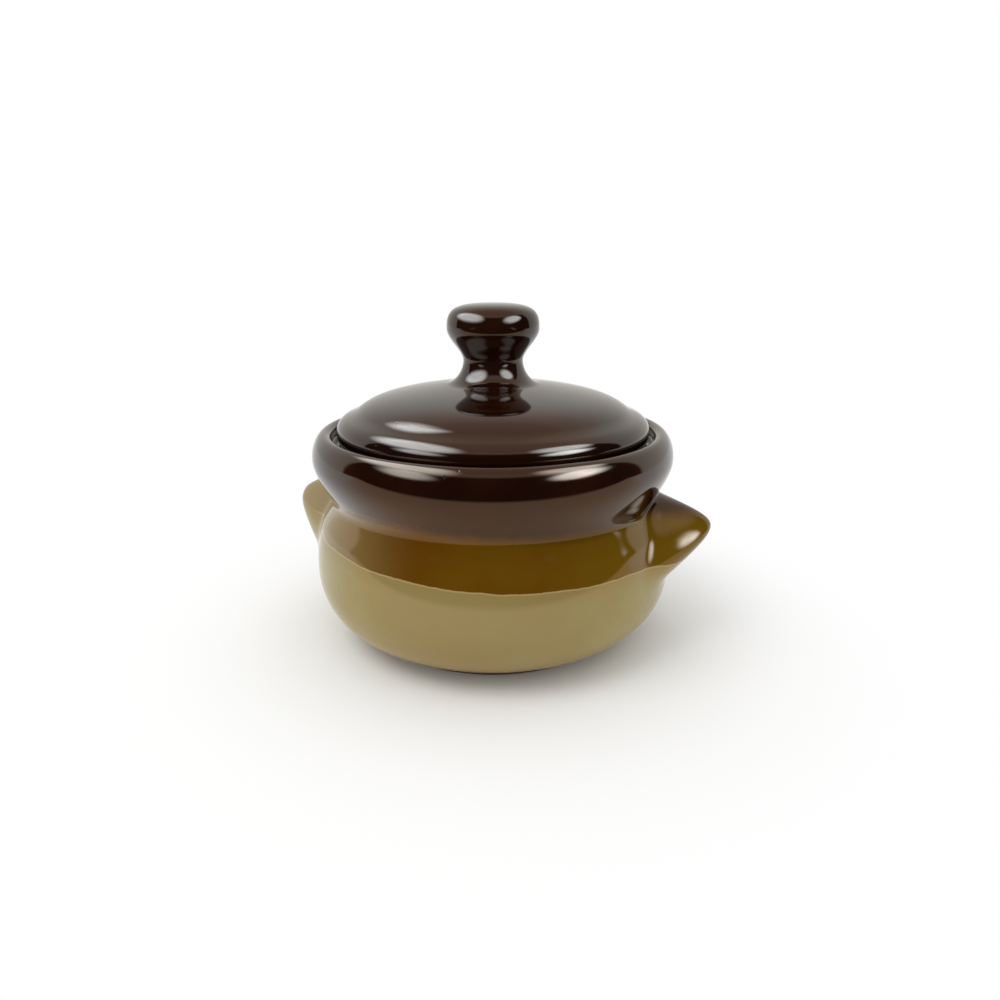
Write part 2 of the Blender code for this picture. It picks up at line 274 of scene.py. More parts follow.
def lug_reach(turn, height):
    """How far from the pot's axis a lug reaches, at an angle from its middle and at a height."""
    near = np.zeros(np.broadcast(turn, height).shape)
    far = np.full(near.shape, BEYOND_LUG)
    for _ in range(HALVINGS):
        middle = (near + far) / 2
        along = (middle * np.cos(turn) - NECK_RADIUS) / (LUG_TIP - NECK_RADIUS)
        out = np.clip(along, 0, 1)
        room = np.sqrt((1 - 2 * LUG_ROUND) * (1 - out) ** 2 + 2 * LUG_ROUND * (1 - out))
        room = room + LUG_SPREAD * np.clip(-along, 0, LUG_ROOT)
        up = (height - LUG_MIDDLE - LUG_LIFT * out) / LUG_TALL
        aside = middle * np.abs(np.sin(turn)) / LUG_BROAD
        girth = np.hypot(aside, up) + 1e-9
        for _ in range(EGG_ROUNDS):
            girth = np.hypot(aside / (1 - LUG_EGG * np.clip(up / girth, -1, 1)), up) + 1e-9
        inner = (girth < room) & (np.cos(turn) > 0)
        near = np.where(inner, middle, near)
        far = np.where(inner, far, middle)
    return near


tip = lug_reach(np.array([0.0]), np.array([LUG_MIDDLE + LUG_LIFT]))[0]
solid_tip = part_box("right_handle")[1][0]
print("lug tip", round(1000 * tip, 2), "mm from the axis; the solid's is", round(1000 * solid_tip, 2))

# %% [markdown]
# ## A flat map of the skin
# A potter's label is flat before it goes round a jar. Anyone who bakes this glaze into a picture later
# needs the skin laid out like that. Blender can unwrap a mesh by itself, but its cuts fall where they
# like. Our skin already is rows and columns, so a column becomes a share across and the length along
# the outline becomes a share down.

# %% A helper that unrolls a skin
MAP_MARGIN = 0.01


def unroll(mesh, rings):
    """Lay a skin out flat, with its rows down and its columns across, and keep the map in the mesh."""
    columns = rings.shape[1]
    steps = np.linalg.norm(np.diff(rings[:, 0], axis=0), axis=1)
    walked = np.concatenate([[0], np.cumsum(steps)])
    down = MAP_MARGIN + (1 - 2 * MAP_MARGIN) * walked / steps.sum()
    left, depth = np.meshgrid(np.arange(columns) / columns, down)
    flat = np.stack([left, depth], axis=-1)
    step = np.array([1 / columns, 0])
    half = np.array([0.5 / columns, 0])
    corners = np.stack([flat[:-1], flat[1:], flat[1:] + step, flat[:-1] + step], axis=2)
    fan_top = np.stack([flat[0] * [1, 0] + half, flat[0], flat[0] + step], axis=1)
    fan_end = np.stack([flat[-1] * [1, 0] + half + [0, 1], flat[-1] + step, flat[-1]], axis=1)
    places = np.concatenate([part.reshape(-1, 2) for part in (corners, fan_top, fan_end)])
    label = mesh.uv_layers.new(name="OFBake")
    label.data.foreach_set("uv", places.ravel())


print("the flat map keeps a margin of", MAP_MARGIN)

# %% [markdown]
# ## Rings of points become a skin
# Clay has an inside and an outside and no loose edges, and a mesh that is to be printed or weighed
# must be shut in the same way. A Screw modifier makes the sides, but leaves the two ends to us. Here
# each ring is joined to the next by quads, and a fan of triangles shuts the skin at each end. The
# bowl and the lid both need this, so it is a helper.

# %% A helper that makes a closed skin from rings of points
def wrap_skin(name, rings, first, last):
    """A closed mesh over rings of points, shut at both ends and unrolled into a flat map."""
    rows, columns = rings.shape[:2]
    points = np.concatenate([rings.reshape(-1, 3), [first, last]])
    index = np.arange(rows * columns).reshape(rows, columns)
    following = np.roll(index, -1, axis=1)
    quads = np.stack([index[:-1], index[1:], following[1:], following[:-1]], axis=-1).reshape(-1, 4)
    top = [(rows * columns, a, b) for a, b in zip(index[0], following[0])]
    bottom = [(rows * columns + 1, b, a) for a, b in zip(index[-1], following[-1])]
    mesh = bpy.data.meshes.new(name)
    mesh.from_pydata(points.tolist(), [], quads.tolist() + top + bottom)
    unroll(mesh, rings)
    mesh.shade_smooth()
    piece = bpy.data.objects.new(name, mesh)
    bpy.context.scene.collection.objects.link(piece)
    print(name, "has", len(mesh.polygons), "faces and", len(mesh.vertices), "points")
    return piece


print("a skin is rows of quads with a fan at each end")

# %% [markdown]
# ## One skin for the whole pot
# Now the outline is carried round the axis, row by row. The columns stand closer together near the
# two handles, where the form changes fastest, and wider apart at the front and back. A thrown pot is
# never quite round: a slow wave of a tenth of a millimetre keeps the reflections from looking drawn
# with a ruler. The bowl and its lugs could be three meshes laid over each other, but their edges would
# show as lines in the glaze, so they are one.

# %% The pot's skin
POT_COLUMNS = 344
CROWDING = 0.25
FILLET = 0.0024
WAVE = 0.00012
WAVE_GROWTH = 0.020


def smooth_larger(a, b, width):
    """The larger of two radii, rounded off where they are nearly equal."""
    share = np.clip(0.5 + 0.5 * (a - b) / width, 0, 1)
    return b + (a - b) * share + width * share * (1 - share)


even = np.linspace(0, 2 * math.pi, POT_COLUMNS, endpoint=False)
turn = even - CROWDING * np.sin(2 * even)
outline = np.concatenate([inside, ledge, outside, foot])
first_outside = len(inside) + len(ledge)
radius = np.repeat(outline[:, :1], POT_COLUMNS, axis=1)
height = np.repeat(outline[:, 1:], POT_COLUMNS, axis=1)

wall = slice(first_outside, first_outside + len(outside))
for facing in (0, math.pi):
    reach = lug_reach(turn[None, :] - facing, height[wall])
    radius[wall] = smooth_larger(reach, radius[wall], FILLET)

wave = np.sin(2 * turn + 0.7)
wave = wave + 0.7 * np.sin(3 * turn + 2.1 + 30 * height)
wave = wave + 0.4 * np.sin(5 * turn - 60 * height)
radius += WAVE * wave * np.clip((height - FOOT_HEIGHT) / WAVE_GROWTH, 0, 1)
rings = np.stack([radius * np.cos(turn), radius * np.sin(turn), height], axis=-1)
pot_skin = wrap_skin("pot_skin", rings, (0, 0, FLOOR_TOP), (0, 0, FOOT_RECESS))
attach(pot_skin, "pot")
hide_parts("pot_bowl", "right_handle", "left_handle")

# %% [markdown]
# ## The lid and its knob
# The lid is thrown upside down, turned, and given a knob thrown from a smaller lump. On the fired
# lid the knob's foot flows out into the crown without a step. From the top down the line runs over a
# domed head, in to a waist, out along the foot, over the dome, through a shallow cove and over a
# rolled edge. One line for both means that they can never come apart in the picture, which is why
# the knob isn't a second mesh here.

# %% The places that the lid's line runs through
LID_RADIUS = 0.0549
LID_BASE = 0.0711
LID_EDGE = 0.0039
LID_ROLL = 0.0050
LID_ROLL_WIDTH = 0.0034
LID_COVE_WIDTH = 0.0048
LID_COVE_RISE = 0.0027
CROWN_HEIGHT = 0.0903
KNOB_TOP = 0.1178
KNOB_RADIUS = 0.0160
KNOB_HEAD = 0.0085
KNOB_WAIST = 0.0104
KNOB_WAIST_HEIGHT = 0.0985
KNOB_FOOT = 0.0162
KNOB_FLARE = 0.0008

head = (KNOB_RADIUS, KNOB_TOP - KNOB_HEAD)
waist = (KNOB_WAIST, KNOB_WAIST_HEIGHT)
crown = (KNOB_FOOT + KNOB_FLARE, CROWN_HEIGHT)
roll_top = (LID_RADIUS - LID_ROLL_WIDTH, LID_BASE + LID_EDGE + LID_ROLL)
cove_top = (roll_top[0] - LID_COVE_WIDTH, roll_top[1] + LID_COVE_RISE)
widest = (LID_RADIUS, LID_BASE + LID_EDGE)
print("knob", 2000 * KNOB_RADIUS, "mm and lid", 2000 * LID_RADIUS, "mm across")

# %% The lid's line from the knob to its edge
KNOB_FAN = 0.0008

taper = head[1] - waist[1]
spread = waist[1] - crown[1]
span = cove_top[0] - crown[0]
drop = crown[1] - cove_top[1]

lid_top = np.concatenate([
    stretch((KNOB_FAN, KNOB_TOP), (0.87 * head[0], KNOB_TOP),
            (head[0], KNOB_TOP - 0.28 * KNOB_HEAD), head, step=0.0007),
    stretch(head, (head[0], head[1] - 0.34 * taper),
            (waist[0], waist[1] + 0.30 * taper), waist, step=0.0007),
    stretch(waist, (waist[0], waist[1] - 0.42 * spread),
            (crown[0] - 0.62 * (crown[0] - waist[0]), crown[1] + 0.06 * spread), crown, step=0.0005),
    stretch(crown, (crown[0] + 0.72 * span, crown[1] - 0.34 * drop),
            (cove_top[0] - 0.12 * span, cove_top[1] + 0.33 * drop), cove_top),
    stretch(cove_top, (cove_top[0] + 0.26 * LID_COVE_WIDTH, cove_top[1] - 0.40 * LID_COVE_RISE),
            (roll_top[0] - 0.45 * LID_COVE_WIDTH, roll_top[1] + 0.36 * LID_COVE_RISE),
            roll_top, step=0.0006),
    stretch(roll_top, (roll_top[0] + 0.60 * LID_ROLL_WIDTH, roll_top[1] - 0.22 * LID_ROLL),
            (widest[0], widest[1] + 0.50 * LID_ROLL), widest, step=0.0005),
])
print("lid top:", len(lid_top), "points")

# %% [markdown]
# ## The lid's underside and its skin
# Underneath, the lid has a flat ring that rests on the ledge and a hollow that saves clay and weight.
# It is only seen when the lid is in a hand. A disc would shut the mesh too, but a lid that is lifted
# in a later picture should look like a lid. So the same line goes on below the edge, and is carried
# round the axis with a wave of its own.

# %% The lid's underside
LID_FOOT = 0.0052
LID_WALL = 0.0056
RING_EDGE = 0.0012
LID_FAN = 0.0015

ring_out = (LID_RADIUS - 0.40 * LID_EDGE, LID_BASE)
ring_in = (ring_out[0] - LID_FOOT, LID_BASE)
ring_end = (ring_in[0] - RING_EDGE, LID_BASE + RING_EDGE)
under = CROWN_HEIGHT - LID_WALL
flat_start = (0.18 * ring_in[0], under)
lid_under = np.concatenate([
    bend(widest, (LID_RADIUS, LID_BASE), ring_out, step=0.0005),
    line(ring_out, ring_in, step=0.0010),
    bend(ring_in, (ring_in[0] - RING_EDGE / 2, LID_BASE), ring_end, step=0.0005),
    stretch(ring_end, (0.75 * ring_in[0], LID_BASE + 0.62 * (under - LID_BASE)),
            (0.45 * ring_in[0], under), flat_start, step=0.0016),
    line(flat_start, (LID_FAN, under), step=0.0024),
])
print("lid underside:", len(lid_under), "points")

# %% The lid's skin
LID_COLUMNS = 288
LID_WAVE = 0.0016

lid_outline = np.concatenate([lid_top, lid_under])
lid_turn = np.linspace(0, 2 * math.pi, LID_COLUMNS, endpoint=False)
lid_radius = np.repeat(lid_outline[:, :1], LID_COLUMNS, axis=1)
lid_height = np.repeat(lid_outline[:, 1:], LID_COLUMNS, axis=1)
lid_wave = np.sin(2 * lid_turn + 1.9) + 0.6 * np.sin(3 * lid_turn + 50 * lid_height)
lid_radius *= 1 + LID_WAVE * lid_wave
lid_rings = np.stack([lid_radius * np.cos(lid_turn), lid_radius * np.sin(lid_turn), lid_height], axis=-1)
lid_skin = wrap_skin("lid_skin", lid_rings, (0, 0, KNOB_TOP), (0, 0, under))
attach(lid_skin, "lid")
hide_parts("lid", "lid_knob")

# %% [markdown]
# ## Wiring materials by hand
# A glaze is several things at once: colour that pools and breaks, a glassy surface that is not quite
# flat, and bare clay where it was wiped away. In Blender that is a small net of nodes. They can be
# dragged and joined in the shader editor. Writing them down keeps every number in sight, and one
# helper that makes a node, sets it and joins it is enough.

# %% Helpers for shader nodes
def add(tree, kind, inputs=None, **settings):
    """One shader node. Inputs are numbers, colours or the outputs of other nodes."""
    made = tree.nodes.new("ShaderNode" + kind)
    for name, value in settings.items():
        setattr(made, name, value)
    for key, value in (inputs or {}).items():
        if isinstance(value, bpy.types.NodeSocket):
            tree.links.new(value, made.inputs[key])
        else:
            made.inputs[key].default_value = value
    return made


def calc(tree, operation, a, b=0.0):
    """One sum of two values."""
    return add(tree, "Math", {0: a, 1: b}, operation=operation).outputs[0]


def dot(tree, place, direction):
    """How far a place lies along a direction."""
    inputs = {0: place, 1: tuple(direction)}
    return add(tree, "VectorMath", inputs, operation='DOT_PRODUCT').outputs["Value"]


def cloud(tree, place, scale, detail=2.0, rough=0.5):
    """Soft noise from 0 to 1 with features of about 1 / scale metres."""
    inputs = {"Vector": place, "Scale": scale, "Detail": detail, "Roughness": rough}
    return add(tree, "TexNoise", inputs).outputs["Fac"]


def fade(tree, value, low, high, start=0.0, end=1.0):
    """A smooth step from start to end as the value goes from low to high."""
    inputs = {"Value": value, "From Min": low, "From Max": high, "To Min": start, "To Max": end}
    return add(tree, "MapRange", inputs, interpolation_type='SMOOTHSTEP').outputs["Result"]


print("helpers for single nodes ready")

# %% Helpers for blends and new materials
def blend_value(tree, share, a, b):
    """Value a where share is 0, value b where it is 1."""
    return add(tree, "Mix", {0: share, 2: a, 3: b}, data_type='FLOAT').outputs[0]


def blend_colour(tree, share, a, b):
    """Colour a where share is 0, colour b where it is 1."""
    mixed = add(tree, "Mix", {"Factor": share}, data_type='RGBA')
    for socket, value in ((mixed.inputs[6], a), (mixed.inputs[7], b)):
        if isinstance(value, bpy.types.NodeSocket):
            tree.links.new(value, socket)
        else:
            socket.default_value = (*value, 1)
    return mixed.outputs[2]


def new_material(name):
    """An empty material: its tree, its shader and the place on the piece in metres."""
    material = bpy.data.materials.new(name)
    material.use_nodes = True
    tree = material.node_tree
    return material, tree, tree.nodes["Principled BSDF"], add(tree, "TexCoord").outputs["Object"]


print("helpers for blends and materials ready")

# %% [markdown]
# ## The dark glaze
# The top of the pot, the lid and the knob wear a brown that is almost black where it lies thick and
# shows red where it thins. A flat dark colour would look like plastic. Two browns are clouded into
# each other instead. Three surfaces need it, so it is a helper.

# %% A helper for the dark glaze's colour
DEEP_BROWN = (0.0095, 0.0020, 0.0006)
RED_BROWN = (0.0150, 0.0034, 0.0010)
RED_CLOUDS = (0.34, 0.70)


def brown_colour(tree, place):
    """Near-black brown with redder clouds in it."""
    clouds = fade(tree, cloud(tree, place, 60, 2, 0.5), *RED_CLOUDS)
    return blend_colour(tree, clouds, DEEP_BROWN, RED_BROWN)


print("dark glaze", DEEP_BROWN, "to", RED_BROWN)

# %% [markdown]
# ## A surface that is not quite glass
# Fired glaze swells a little over the clay, has a fine orange peel, and here and there a pinhole where
# a bubble burst. That could be sculpted, but at hundredths of a millimetre the mesh would need millions
# of points. A height made of noise and fed to a Bump node bends the reflections in the same way, and a
# drifting roughness keeps the shine from being perfect.

# %% A helper for the glaze's surface
SWELL = 0.000030
PEEL = 0.0000016
PIT_DEPTH = 0.000025
PIT_EDGE = (0.05, 0.13)
FEW_PITS = 0.66


def glaze_height(tree, place, swell=SWELL):
    """The height of the glaze in metres: a slow swell, a fine orange peel and a few pinholes."""
    slow = calc(tree, 'MULTIPLY', cloud(tree, place, 70, 2), swell)
    fine = calc(tree, 'MULTIPLY', cloud(tree, place, 520, 2), PEEL)
    dots = add(tree, "TexVoronoi", {"Vector": place, "Scale": 210.0, "Randomness": 1.0})
    rare = calc(tree, 'GREATER_THAN', cloud(tree, place, 160, 0), FEW_PITS)
    pit = fade(tree, dots.outputs["Distance"], *PIT_EDGE, -PIT_DEPTH, 0.0)
    hole = calc(tree, 'MULTIPLY', pit, rare)
    return calc(tree, 'ADD', calc(tree, 'ADD', slow, fine), hole)


print("glaze swells by", SWELL, "m, pinholes are", PIT_DEPTH, "m deep")

# %% Helpers for gloss, bare clay and the finished glaze
GLAZE_IOR = 1.6
# Bare clay where the glaze is wiped. It is made dark so that on the bowl's foot it is also painted shade
# for the dark line under the heel.
BARE_CLAY_AND_SHADE = (0.075, 0.050, 0.034)
CLAY_ROUGH = 0.85
DRIFT = (0.3, 0.7)


def drifting_gloss(tree, place, scale, shiny, dull):
    """Roughness that drifts from shiny to dull and back over the piece."""
    return fade(tree, cloud(tree, place, scale, 3), *DRIFT, shiny, dull)


def wiped_below(tree, place, scale, wander, low, high):
    """1 under an uneven line where the glaze is wiped off, 0 over it."""
    height = add(tree, "SeparateXYZ", {0: place}).outputs["Z"]
    uneven = calc(tree, 'MULTIPLY', cloud(tree, place, scale, 2), wander)
    return fade(tree, calc(tree, 'ADD', height, uneven), low, high, 1.0, 0.0)


def put_on(piece, material, shader, colour, rough, height, tint):
    """Join colour, roughness and relief to a glaze's shader and give the glaze to a piece."""
    tree = material.node_tree
    relief = add(tree, "Bump", {"Height": height, "Distance": 1.0, "Strength": 1.0})
    tree.links.new(colour, shader.inputs["Base Color"])
    tree.links.new(rough, shader.inputs["Roughness"])
    tree.links.new(relief.outputs[0], shader.inputs["Normal"])
    shader.inputs["IOR"].default_value = GLAZE_IOR
    shader.inputs["Specular Tint"].default_value = tint
    piece.data.materials.append(material)
    print(material.name, "has", len(tree.nodes), "nodes")


print("bare clay", BARE_CLAY_AND_SHADE, "and glaze with an index of", GLAZE_IOR)

# %% [markdown]
# ## The lid's glaze
# The lid is dipped whole in the brown, and its resting ring is wiped so that it doesn't stick to the
# pot in the kiln. The ring could be a second material on some faces. A rule on the height with a
# little noise gives the uneven edge that a sponge leaves, so that is used.

# %% The lid's glaze
BROWN_TINT = (1.0, 0.94, 0.88, 1)
WIPED_RING = (LID_BASE + 0.0004, LID_BASE + 0.0007)

lid_glaze, tree, shader, place = new_material("lid_brown_glaze")
wiped = wiped_below(tree, place, 300, 0.0006, *WIPED_RING)
lid_colour = blend_colour(tree, wiped, brown_colour(tree, place), BARE_CLAY_AND_SHADE)
lid_rough = blend_value(tree, wiped, drifting_gloss(tree, place, 130, 0.045, 0.085), CLAY_ROUGH)
put_on(lid_skin, lid_glaze, shader, lid_colour, lid_rough, glaze_height(tree, place), BROWN_TINT)

# %% [markdown]
# ## Three glazes in two dips
# The whole bowl is glazed a quiet beige. It is then held upside down and dipped into amber, and once
# more, less deep, into brown. Each dip leaves a level line, but a hand never holds a pot quite
# level, so the lines lean and wander. A painted stripe or a colour ramp on the height would be dead
# straight. Here each line is a tilted plane plus noise. The edge of the amber is crisp, because the
# layer ends there, and it runs a little lower on one lug. The brown melts into the amber in the fire,
# so that edge is soft.

# %% Where the dip lines run
AMBER_LINE = 0.0401
AMBER_LEAN = (0.0462, -0.0245)
AMBER_WANDER = (0.0022, 0.0007)
AMBER_EDGE = (-0.00012, 0.00028)
BROWN_LINE = 0.0514
BROWN_LEAN = (0.0530, 0.0147)
BROWN_WANDER = (0.0026, 0.0012)
BROWN_EDGE = (-0.0012, 0.0040)
# One direction across the pot. The amber runs lower on the lug on this side, and the painted side light,
# the paler amber and the painted highlight on the amber's edge are all laid out along it.
DIP_AND_LIGHT_SIDE = (0.964, 0.267, 0.0)
LUG_SIDE = (0.042, 0.066)
LUG_RUN = 0.0020


def above_line(tree, place, line_height, lean, wander):
    """How far above a dip line a point is, in metres. The line leans along the pot's x and y."""
    level = dot(tree, place, (*lean, 1.0))
    slow = calc(tree, 'SUBTRACT', cloud(tree, place, 45, 1), 0.5)
    quick = calc(tree, 'SUBTRACT', cloud(tree, place, 260, 2), 0.5)
    slow = calc(tree, 'MULTIPLY', slow, wander[0])
    quick = calc(tree, 'MULTIPLY', quick, wander[1])
    uneven = calc(tree, 'ADD', level, calc(tree, 'ADD', slow, quick))
    return calc(tree, 'SUBTRACT', uneven, line_height)


bowl_glaze, tree, shader, place = new_material("bowl_dipped_glaze")
sideways = dot(tree, place, DIP_AND_LIGHT_SIDE)
over_amber = above_line(tree, place, AMBER_LINE, AMBER_LEAN, AMBER_WANDER)
over_amber = calc(tree, 'ADD', over_amber, fade(tree, sideways, *LUG_SIDE, 0.0, LUG_RUN))
over_brown = above_line(tree, place, BROWN_LINE, BROWN_LEAN, BROWN_WANDER)
is_amber = fade(tree, over_amber, *AMBER_EDGE)
is_brown = fade(tree, over_brown, *BROWN_EDGE)
print("glaze lines at", 1000 * AMBER_LINE, "and", 1000 * BROWN_LINE, "mm")

# %% [markdown]
# ## The colours between the lines
# No glaze is one flat colour. The beige is greener at the sides and warmer in the middle, which is
# painted light for how the light falls on the sides, and it is stained just under the amber. The amber
# is olive on one side, and on the other it turns pale, which is painted light again. A picture of real
# glaze could be wrapped round the pot. We blend a few colours by place and by soft clouds, since every
# shade then has a number that can be turned up or down.

# %% The beige and the amber
BEIGE = (0.262, 0.208, 0.082)
WARM_BEIGE = (0.250, 0.178, 0.058)
PAINTED_SIDE_LIGHT_BEIGE = (0.280, 0.245, 0.094)
AMBER = (0.100, 0.037, 0.0004)
OLIVE_AMBER = (0.130, 0.068, 0.0020)
PAINTED_LIT_AMBER = (0.250, 0.182, 0.072)
MIDDLE_SHIFT = 0.006
SIDE_LIGHT_RANGE = (0.022, 0.046)
STAIN = (-0.0075, 0.0)
STAIN_SHARE = 0.75
CLOUD_SHARE = 0.45
OLIVE_SIDE = (-0.005, 0.045)
PAINTED_LIT_SIDE = (-0.066, -0.020)
PAINTED_LIT_SHARE = 0.85

# Painted light: the beige turns greener towards both sides, standing for the light that falls there, and
# stays warmer in the middle.
off_middle = calc(tree, 'ABSOLUTE', calc(tree, 'ADD', sideways, MIDDLE_SHIFT))
side_lit_beige = blend_colour(tree, fade(tree, off_middle, *SIDE_LIGHT_RANGE), BEIGE, PAINTED_SIDE_LIGHT_BEIGE)
stain = fade(tree, over_amber, *STAIN, 0.0, STAIN_SHARE)
beige_cloud = fade(tree, cloud(tree, place, 60, 3), 0.35, 0.68)
warmth = calc(tree, 'MAXIMUM', stain, calc(tree, 'MULTIPLY', beige_cloud, CLOUD_SHARE))
beige = blend_colour(tree, warmth, side_lit_beige, WARM_BEIGE)

amber_cloud = fade(tree, cloud(tree, place, 42, 2, 0.5), 0.32, 0.70)
olive_cloud = calc(tree, 'MULTIPLY', amber_cloud, CLOUD_SHARE)
olive = calc(tree, 'MAXIMUM', olive_cloud, fade(tree, sideways, *OLIVE_SIDE))
# Painted light: the amber turns pale towards the left edge, standing for the light and reflection that
# fall on that side.
lit_amber_share = fade(tree, sideways, *PAINTED_LIT_SIDE, PAINTED_LIT_SHARE, 0.0)
amber = blend_colour(tree, lit_amber_share, blend_colour(tree, olive, AMBER, OLIVE_AMBER), PAINTED_LIT_AMBER)
print("beige", BEIGE, "and amber", AMBER)

# %% The painted highlight along the amber's edge, and the three bands
PAINTED_EDGE_HIGHLIGHT = (0.380, 0.290, 0.130)
HIGHLIGHT_SHIFT = 0.0001
HIGHLIGHT_WIDTH = (0.00008, 0.00034)
HIGHLIGHT_SHARE = 0.65
HIGHLIGHT_STARTS = (-0.067, -0.063)

# Painted highlight: a thin pale line along the amber's lower edge, where the light catches it, faded out
# at the far left.
off_line = calc(tree, 'ABSOLUTE', calc(tree, 'ADD', over_amber, HIGHLIGHT_SHIFT))
near_line = fade(tree, off_line, *HIGHLIGHT_WIDTH, HIGHLIGHT_SHARE, 0.0)
pale = calc(tree, 'MULTIPLY', near_line, fade(tree, sideways, *HIGHLIGHT_STARTS))
dipped = blend_colour(tree, pale, blend_colour(tree, is_amber, beige, amber), PAINTED_EDGE_HIGHLIGHT)
banded = blend_colour(tree, is_brown, dipped, brown_colour(tree, place))
print("a pale edge of", 2000 * HIGHLIGHT_WIDTH[1], "mm along the amber")

# %% [markdown]
# ## Specks, the bare foot and the steps of the layers
# Iron in the clay burns through the beige as a few brown specks. The foot is wiped, and its bare clay
# is made dark as painted shade for the dark line under the heel. Each dip also lies on top of the last
# one, a few hundredths of a millimetre thicker. Specks could be dots painted by hand, but one Voronoi
# pattern that is kept only here and there does it. The steps go into the same height as the swell, so
# that the light catches the edge of each layer.

# %% The bowl's specks, foot and relief
BOWL_TINT = (1.0, 0.84, 0.70, 1)
SPECK = (0.05, 0.022, 0.008)
SPECK_EDGE = (0.03, 0.075)
SPECK_SHARE = 0.8
FEW_SPECKS = 0.64
WIPED_FOOT = (0.0040, 0.0044)
AMBER_THICK = 0.00005
BROWN_THICK = 0.00004

specks = add(tree, "TexVoronoi", {"Vector": place, "Scale": 150.0, "Randomness": 1.0})
rare = calc(tree, 'GREATER_THAN', cloud(tree, place, 120, 0), FEW_SPECKS)
spot = fade(tree, specks.outputs["Distance"], *SPECK_EDGE, SPECK_SHARE, 0.0)
speckled = blend_colour(tree, calc(tree, 'MULTIPLY', spot, rare), banded, SPECK)
# Painted shade: the wiped foot takes the dark clay colour, which stands for the shade under the heel.
bare = wiped_below(tree, place, 240, 0.0009, *WIPED_FOOT)
bowl_colour = blend_colour(tree, bare, speckled, BARE_CLAY_AND_SHADE)
bowl_rough = blend_value(tree, bare, drifting_gloss(tree, place, 110, 0.05, 0.10), CLAY_ROUGH)
amber_step = calc(tree, 'MULTIPLY', is_amber, AMBER_THICK)
brown_step = calc(tree, 'MULTIPLY', is_brown, BROWN_THICK)
layers = calc(tree, 'ADD', amber_step, brown_step)
bowl_height = calc(tree, 'ADD', glaze_height(tree, place), layers)
put_on(pot_skin, bowl_glaze, shader, bowl_colour, bowl_rough, bowl_height, BOWL_TINT)

# %% [markdown]
# ## The lining
# The inside of a cooking pot is glazed by pouring, before the dips. Here it is the same brown, a
# little rougher from spoons. The rows of the skin that lie inside the rim get this as a second
# material, since a height rule would paint the bands of the outside there too.

# %% The lining glaze
LINING_SWELL = 0.00004
UNLINED_ROWS = 6

lining_glaze, tree, shader, place = new_material("lining_brown_glaze")
lining_rough = drifting_gloss(tree, place, 90, 0.08, 0.16)
lining_height = glaze_height(tree, place, LINING_SWELL)
lining_colour = brown_colour(tree, place)
put_on(pot_skin, lining_glaze, shader, lining_colour, lining_rough, lining_height, BROWN_TINT)

wall_faces = (len(outline) - 1) * POT_COLUMNS
lined_rows = len(inside) + len(ledge) - UNLINED_ROWS
slots = np.zeros(len(pot_skin.data.polygons), dtype=np.int32)
slots[:lined_rows * POT_COLUMNS] = 1
slots[wall_faces:wall_faces + POT_COLUMNS] = 1
pot_skin.data.polygons.foreach_set("material_index", slots)
print("lining covers", int(slots.sum()), "of", len(slots), "faces")

# %% [markdown]
# ## The table
# The pot stands on a pale table that runs back into a white sweep of paper. A curved sweep could be
# modelled, but a plane that turns from lit paper to plain white as it leaves the pot looks the same
# and has no edge to hide. Towards the camera the table fades out, and the collar and the neck turn
# dark where the glaze shows what lies past its end. The glaze also shows the near part of the table in
# a warmer tone, as it looks under a warm lamp. The camera itself sees plain paper.

# %% The table's sheet
TABLE_FRONT = (0.165, 0.265)
TABLE_REACH = 3.0

far_side, near_side = -TABLE_REACH, TABLE_FRONT[1]
ends = ((-TABLE_REACH, far_side), (TABLE_REACH, far_side),
        (TABLE_REACH, near_side), (-TABLE_REACH, near_side))
sheet = bpy.data.meshes.new("table")
sheet.from_pydata([tuple(camera_right * x + camera_front * y) for x, y in ends], [], [(3, 2, 1, 0)])
table = bpy.data.objects.new("table", sheet)
bpy.context.scene.collection.objects.link(table)
print("table fades out", TABLE_FRONT, "m in front of the pot's axis")

# %% The table's paper
PAPER = (0.93, 0.93, 0.92)
WHITE = (1, 1, 1)
PAPER_ROUGH = 0.8
PAPER_ENDS = (0.060, 0.16)
MIRRORED_TABLE = (1.0, 0.75, 0.57)
WARM_STARTS = (-0.03, 0.08)

paper, tree, shader, place = new_material("table_paper")
forward = dot(tree, place, camera_front)
is_mirrored = add(tree, "LightPath").outputs["Is Glossy Ray"]
warm = calc(tree, 'MULTIPLY', is_mirrored, fade(tree, forward, *WARM_STARTS))
tree.links.new(blend_colour(tree, warm, PAPER, MIRRORED_TABLE), shader.inputs["Base Color"])
shader.inputs["Roughness"].default_value = PAPER_ROUGH
shader.inputs["Specular IOR Level"].default_value = 0.0
white_or_warm = blend_colour(tree, warm, WHITE, MIRRORED_TABLE)
white = add(tree, "Emission", {"Color": white_or_warm, "Strength": 1.0})
far = add(tree, "VectorMath", {0: place}, operation='LENGTH').outputs["Value"]
whiter = fade(tree, far, *PAPER_ENDS)
sweep = add(tree, "MixShader", {0: whiter, 1: shader.outputs[0], 2: white.outputs[0]})
gone = add(tree, "BsdfTransparent").outputs[0]
edged = add(tree, "MixShader", {0: fade(tree, forward, *TABLE_FRONT), 1: sweep.outputs[0], 2: gone})
tree.links.new(edged.outputs[0], tree.nodes["Material Output"].inputs["Surface"])
sheet.materials.append(paper)
print("paper turns plain white", PAPER_ENDS, "m from the pot's axis")

# %% [markdown]
# ## One lamp for the clay
# A photographer of glazed pots splits the work in two. A soft lamp lights the paper and the clay, and
# white cards stand where the glaze should shine. The lamp hangs high on the left, as the shadow in the
# picture says. A sun would do for the light, but its shadow would be hard. An oval area lamp gives a
# soft one, and the glaze is told not to mirror it, because that is what the cards are for.

